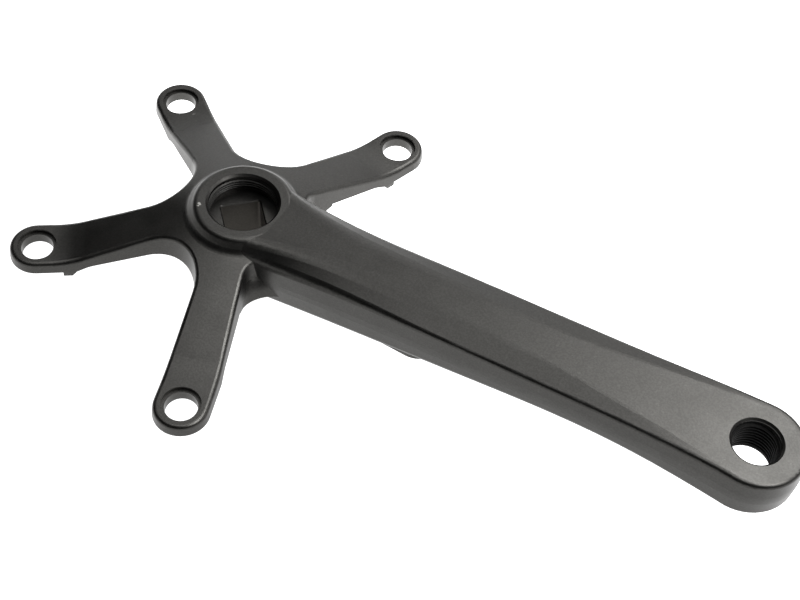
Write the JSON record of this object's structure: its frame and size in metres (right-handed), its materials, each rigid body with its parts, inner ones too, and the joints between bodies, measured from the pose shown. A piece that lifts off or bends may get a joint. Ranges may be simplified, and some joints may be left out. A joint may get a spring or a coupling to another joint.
{
  "type": "bicycle crank arm",
  "caption": "Forged bicycle crank arm with a chainring spider, square-taper hub and threaded pedal eye, finished satin black; it turns pedal force into chainring drive.",
  "frame": {"origin": "on the spindle axis, in the plane that the chainring seats on", "axes": "+X along the arm from the spindle axis towards the pedal axis, +Z along the spindle axis outward, away from the bicycle's frame"},
  "size_m": [0.2461, 0.1412, 0.0356],
  "materials": {
    "satin_black": "satin black anodised"
  },
  "bodies": {
    "root": {"crank_arm": "satin_black"}
  },
  "joints": []
}
